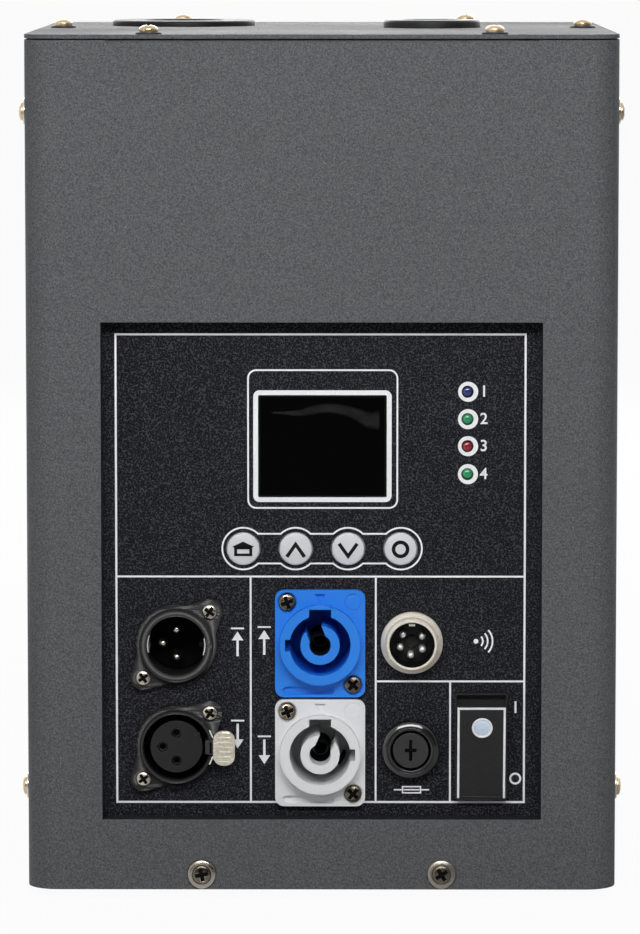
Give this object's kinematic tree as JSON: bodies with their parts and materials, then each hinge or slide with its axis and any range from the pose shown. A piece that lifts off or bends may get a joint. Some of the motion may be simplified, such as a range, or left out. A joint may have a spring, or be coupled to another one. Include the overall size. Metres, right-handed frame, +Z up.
{
  "type": "cold spark machine",
  "caption": "Upright sheet-metal spark fountain machine with a recessed control and socket panel, a round nozzle and a capped granule hopper in its lid.",
  "frame": {"origin": "on the plane the feet stand on, under the middle of the overall bounding box", "axes": "+Z up, -Y towards the front with the controls, +X to the right when facing the front"},
  "size_m": [0.1738, 0.1818, 0.2517],
  "materials": {
    "powder_coat": "dark grey fine-textured powder coat",
    "panel_coat": "black fine-textured coat with white print",
    "nozzle_coat": "black heat-resistant coat",
    "brass": "passivated, slightly dull",
    "nickel": "nickel plate",
    "zinc_sheet": "galvanised sheet",
    "steel": "plain steel",
    "black_plastic": "satin black plastic",
    "black_gloss": "glossy black plastic",
    "blue_plastic": "satin blue plastic",
    "white_plastic": "satin white plastic",
    "keycap": "pale grey keycap with a black symbol",
    "display_glass": "glossy dark display window",
    "lamp_blue": "unlit blue lens",
    "lamp_green": "unlit green lens",
    "lamp_red": "unlit red lens",
    "rubber": "matte rubber",
    "insulation": "woven ceramic fibre",
    "circuit_board": "green solder mask",
    "fuse_glass": "clear glass tube"
  },
  "bodies": {
    "cabinet": {"wrap_shell": "powder_coat", "lid_plate": "powder_coat", "base_plate": "powder_coat", "rear_panel": "powder_coat", "control_panel": "panel_coat", "foot_1": "rubber", "foot_2": "rubber", "foot_3": "rubber", "foot_4": "rubber", "lid_screw_1": "brass", "lid_screw_2": "brass", "lid_screw_3": "brass", "lid_screw_4": "brass", "lid_screw_5": "brass", "lid_screw_6": "brass", "side_screw_1": "nickel", "side_screw_2": "nickel", "side_screw_3": "nickel", "side_screw_4": "nickel", "base_screw_1": "nickel", "base_screw_2": "nickel", "display_module": "display_glass", "display_board": "circuit_board", "lamp_heating": "lamp_blue", "lamp_work": "lamp_green", "lamp_fault": "lamp_red", "lamp_data": "lamp_green", "dmx_in_socket": "black_plastic", "dmx_in_insert": "nickel", "dmx_out_socket": "black_plastic", "dmx_out_insert": "black_plastic", "power_in_socket": "blue_plastic", "power_out_socket": "white_plastic", "remote_socket": "nickel", "remote_insert": "black_plastic", "fuse_holder": "black_gloss", "switch_body": "black_plastic", "nozzle": "nozzle_coat", "heating_chamber": "steel", "heater_jacket": "insulation", "engine_bracket": "zinc_sheet", "hopper": "steel", "feed_barrel": "steel", "feed_motor": "zinc_sheet", "blower_housing": "black_plastic", "fan_frame": "black_plastic", "power_supply": "circuit_board", "main_board": "circuit_board"},
    "menu_button": {"button_menu": "keycap"},
    "up_button": {"button_up": "keycap"},
    "down_button": {"button_down": "keycap"},
    "enter_button": {"button_enter": "keycap"},
    "release_tab": {"dmx_out_latch": "nickel"},
    "rocker": {"switch_rocker": "black_plastic"},
    "fuse": {"fuse_link": "fuse_glass"},
    "fuse_cover": {"fuse_cap": "black_plastic"},
    "filler_cap": {"hopper_cap": "black_plastic"},
    "auger": {"feed_auger": "steel"},
    "impeller": {"blower_impeller": "black_plastic"},
    "fan": {"fan_rotor": "black_plastic"}
  },
  "joints": [
    {"name": "menu_press", "type": "slide", "parent": "cabinet", "child": "menu_button", "axis": [0, 1, 0], "range_m": [0, 0.001], "stiffness_N_per_m": 300},
    {"name": "up_press", "type": "slide", "parent": "cabinet", "child": "up_button", "axis": [0, 1, 0], "range_m": [0, 0.001], "stiffness_N_per_m": 300},
    {"name": "down_press", "type": "slide", "parent": "cabinet", "child": "down_button", "axis": [0, 1, 0], "range_m": [0, 0.001], "stiffness_N_per_m": 300},
    {"name": "enter_press", "type": "slide", "parent": "cabinet", "child": "enter_button", "axis": [0, 1, 0], "range_m": [0, 0.001], "stiffness_N_per_m": 300},
    {"name": "release_push", "type": "slide", "parent": "cabinet", "child": "release_tab", "axis": [0, 1, 0], "range_m": [0, 0.0017], "stiffness_N_per_m": 500},
    {"name": "rocker_tilt", "type": "hinge", "parent": "cabinet", "child": "rocker", "pos_m": [0.04605, -0.08015, 0.0439], "axis": [-1, 0, 0], "range_deg": [0, 20]},
    {"name": "fuse_pull", "type": "slide", "parent": "cabinet", "child": "fuse", "axis": [0, -1, 0], "range_m": [0, 0.03]},
    {"name": "fuse_cap_turn", "type": "hinge", "parent": "fuse", "child": "fuse_cover", "pos_m": [0.0257, -0.0851, 0.0428], "axis": [0, -1, 0], "range_deg": [0, 60]},
    {"name": "filler_cap_lift", "type": "slide", "parent": "cabinet", "child": "filler_cap", "axis": [0, 0, 1], "range_m": [0, 0.04]},
    {"name": "auger_spin", "type": "hinge", "parent": "cabinet", "child": "auger", "pos_m": [0.0329, 0.01055, 0.15], "axis": [-0.9398, 0.3417, 0], "continuous": true},
    {"name": "impeller_spin", "type": "hinge", "parent": "cabinet", "child": "impeller", "pos_m": [-0.03, 0.03815, 0.0745], "axis": [0, 1, 0], "continuous": true},
    {"name": "fan_spin", "type": "hinge", "parent": "cabinet", "child": "fan", "pos_m": [0.038, 0.08, 0.098], "axis": [0, 1, 0], "continuous": true}
  ]
}
